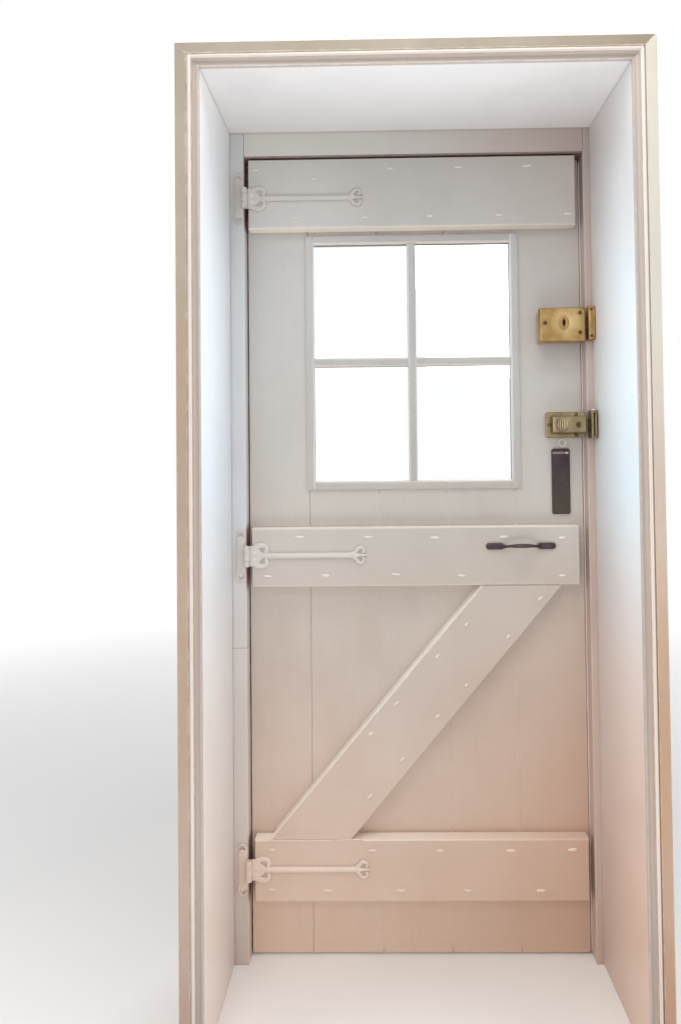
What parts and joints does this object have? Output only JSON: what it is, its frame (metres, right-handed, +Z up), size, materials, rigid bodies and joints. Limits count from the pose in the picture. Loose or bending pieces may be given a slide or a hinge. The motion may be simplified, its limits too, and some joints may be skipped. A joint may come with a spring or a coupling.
{
  "type": "ledged and braced cottage door in its lined frame",
  "caption": "Single-leaf ledged and braced cottage door with a small glazed window, strap hinges, rim lock and night latch, hung in its frame with a deep lined reveal and moulded architrave.",
  "frame": {"origin": "on the floor, midway across the architrave and midway through the depth of the doorset", "axes": "+X to the right as seen from the room, +Y from the room through the wall to the outside, +Z up"},
  "size_m": [0.962, 0.414, 2.031],
  "materials": {
    "frame_paint": "white oil paint on softwood",
    "leaf_paint": "white oil paint on softwood boards",
    "sash_paint": "white oil paint",
    "painted_iron": "iron under many coats of white paint",
    "glass": "clear window glass",
    "putty": "painted linseed putty",
    "golden_brass": "worn lacquered brass",
    "aged_brass": "dull aged brass",
    "lock_steel": "bright steel",
    "snib_metal": "dark bronze finish",
    "black_iron": "black japanned iron",
    "dark_plate": "dark brown satin finish"
  },
  "bodies": {
    "frame": {"hinge_post": "frame_paint", "lock_post": "frame_paint", "frame_head": "frame_paint", "lining_left": "frame_paint", "lining_right": "frame_paint", "lining_soffit": "frame_paint", "architrave_left": "frame_paint", "architrave_right": "frame_paint", "architrave_head": "frame_paint", "hinge_plate_top": "painted_iron", "hinge_plate_middle": "painted_iron", "hinge_plate_bottom": "painted_iron", "hinge_pins": "painted_iron", "hinge_plate_screws": "painted_iron", "rim_lock_keep": "golden_brass", "night_latch_keep": "aged_brass", "keep_screws": "lock_steel"},
    "leaf": {"board_1": "leaf_paint", "board_2": "leaf_paint", "board_3": "leaf_paint", "board_4": "leaf_paint", "board_5": "leaf_paint", "boards_above_window": "leaf_paint", "ledge_top": "leaf_paint", "ledge_middle": "leaf_paint", "ledge_bottom": "leaf_paint", "brace": "leaf_paint", "clench_nails": "painted_iron", "sash_stile_left": "sash_paint", "sash_stile_right": "sash_paint", "sash_rail_bottom": "sash_paint", "sash_rail_top": "sash_paint", "glazing_bar_upright": "sash_paint", "glazing_bars_cross": "sash_paint", "pane_bottom_left": "glass", "pane_top_left": "glass", "pane_bottom_right": "glass", "pane_top_right": "glass", "glazing_putty": "putty", "hinge_strap_top": "painted_iron", "hinge_strap_middle": "painted_iron", "hinge_strap_bottom": "painted_iron", "strap_screws": "painted_iron", "pull_handle": "black_iron", "rim_lock_block": "leaf_paint", "night_latch_block": "leaf_paint", "rim_lock_case": "golden_brass", "rim_lock_levers": "lock_steel", "rim_lock_escutcheon": "golden_brass", "rim_lock_screws": "lock_steel", "night_latch_backplate": "aged_brass", "night_latch_case": "aged_brass", "night_latch_screws": "aged_brass", "night_latch_cylinder": "aged_brass", "key_hook": "lock_steel", "dark_plate": "dark_plate"},
    "rim_bolt": {"rim_lock_bolt": "golden_brass"},
    "latch_bolt": {"night_latch_bolt": "aged_brass"},
    "latch_knob": {"night_latch_knob": "aged_brass"},
    "latch_snib": {"night_latch_snib": "snib_metal"}
  },
  "joints": [
    {"name": "leaf_swing", "type": "hinge", "parent": "frame", "child": "leaf", "pos_m": [-0.3985, 0.0989, 0.963], "axis": [0, 0, -1], "range_deg": [0, 90]},
    {"name": "rim_bolt_throw", "type": "slide", "parent": "leaf", "child": "rim_bolt", "axis": [1, 0, 0], "range_m": [0, 0.019]},
    {"name": "latch_bolt_throw", "type": "slide", "parent": "leaf", "child": "latch_bolt", "axis": [1, 0, 0], "range_m": [0, 0.0205]},
    {"name": "latch_knob_turn", "type": "hinge", "parent": "leaf", "child": "latch_knob", "pos_m": [0.351, 0.075, 1.268], "axis": [0, 1, 0], "range_deg": [0, 60]},
    {"name": "latch_snib_slide", "type": "slide", "parent": "leaf", "child": "latch_snib", "axis": [0, 0, -1], "range_m": [0, 0.005]}
  ],
  "couplings": [
    {"joint": "latch_knob_turn", "follows": "latch_bolt_throw", "rad_per_m": 50}
  ]
}
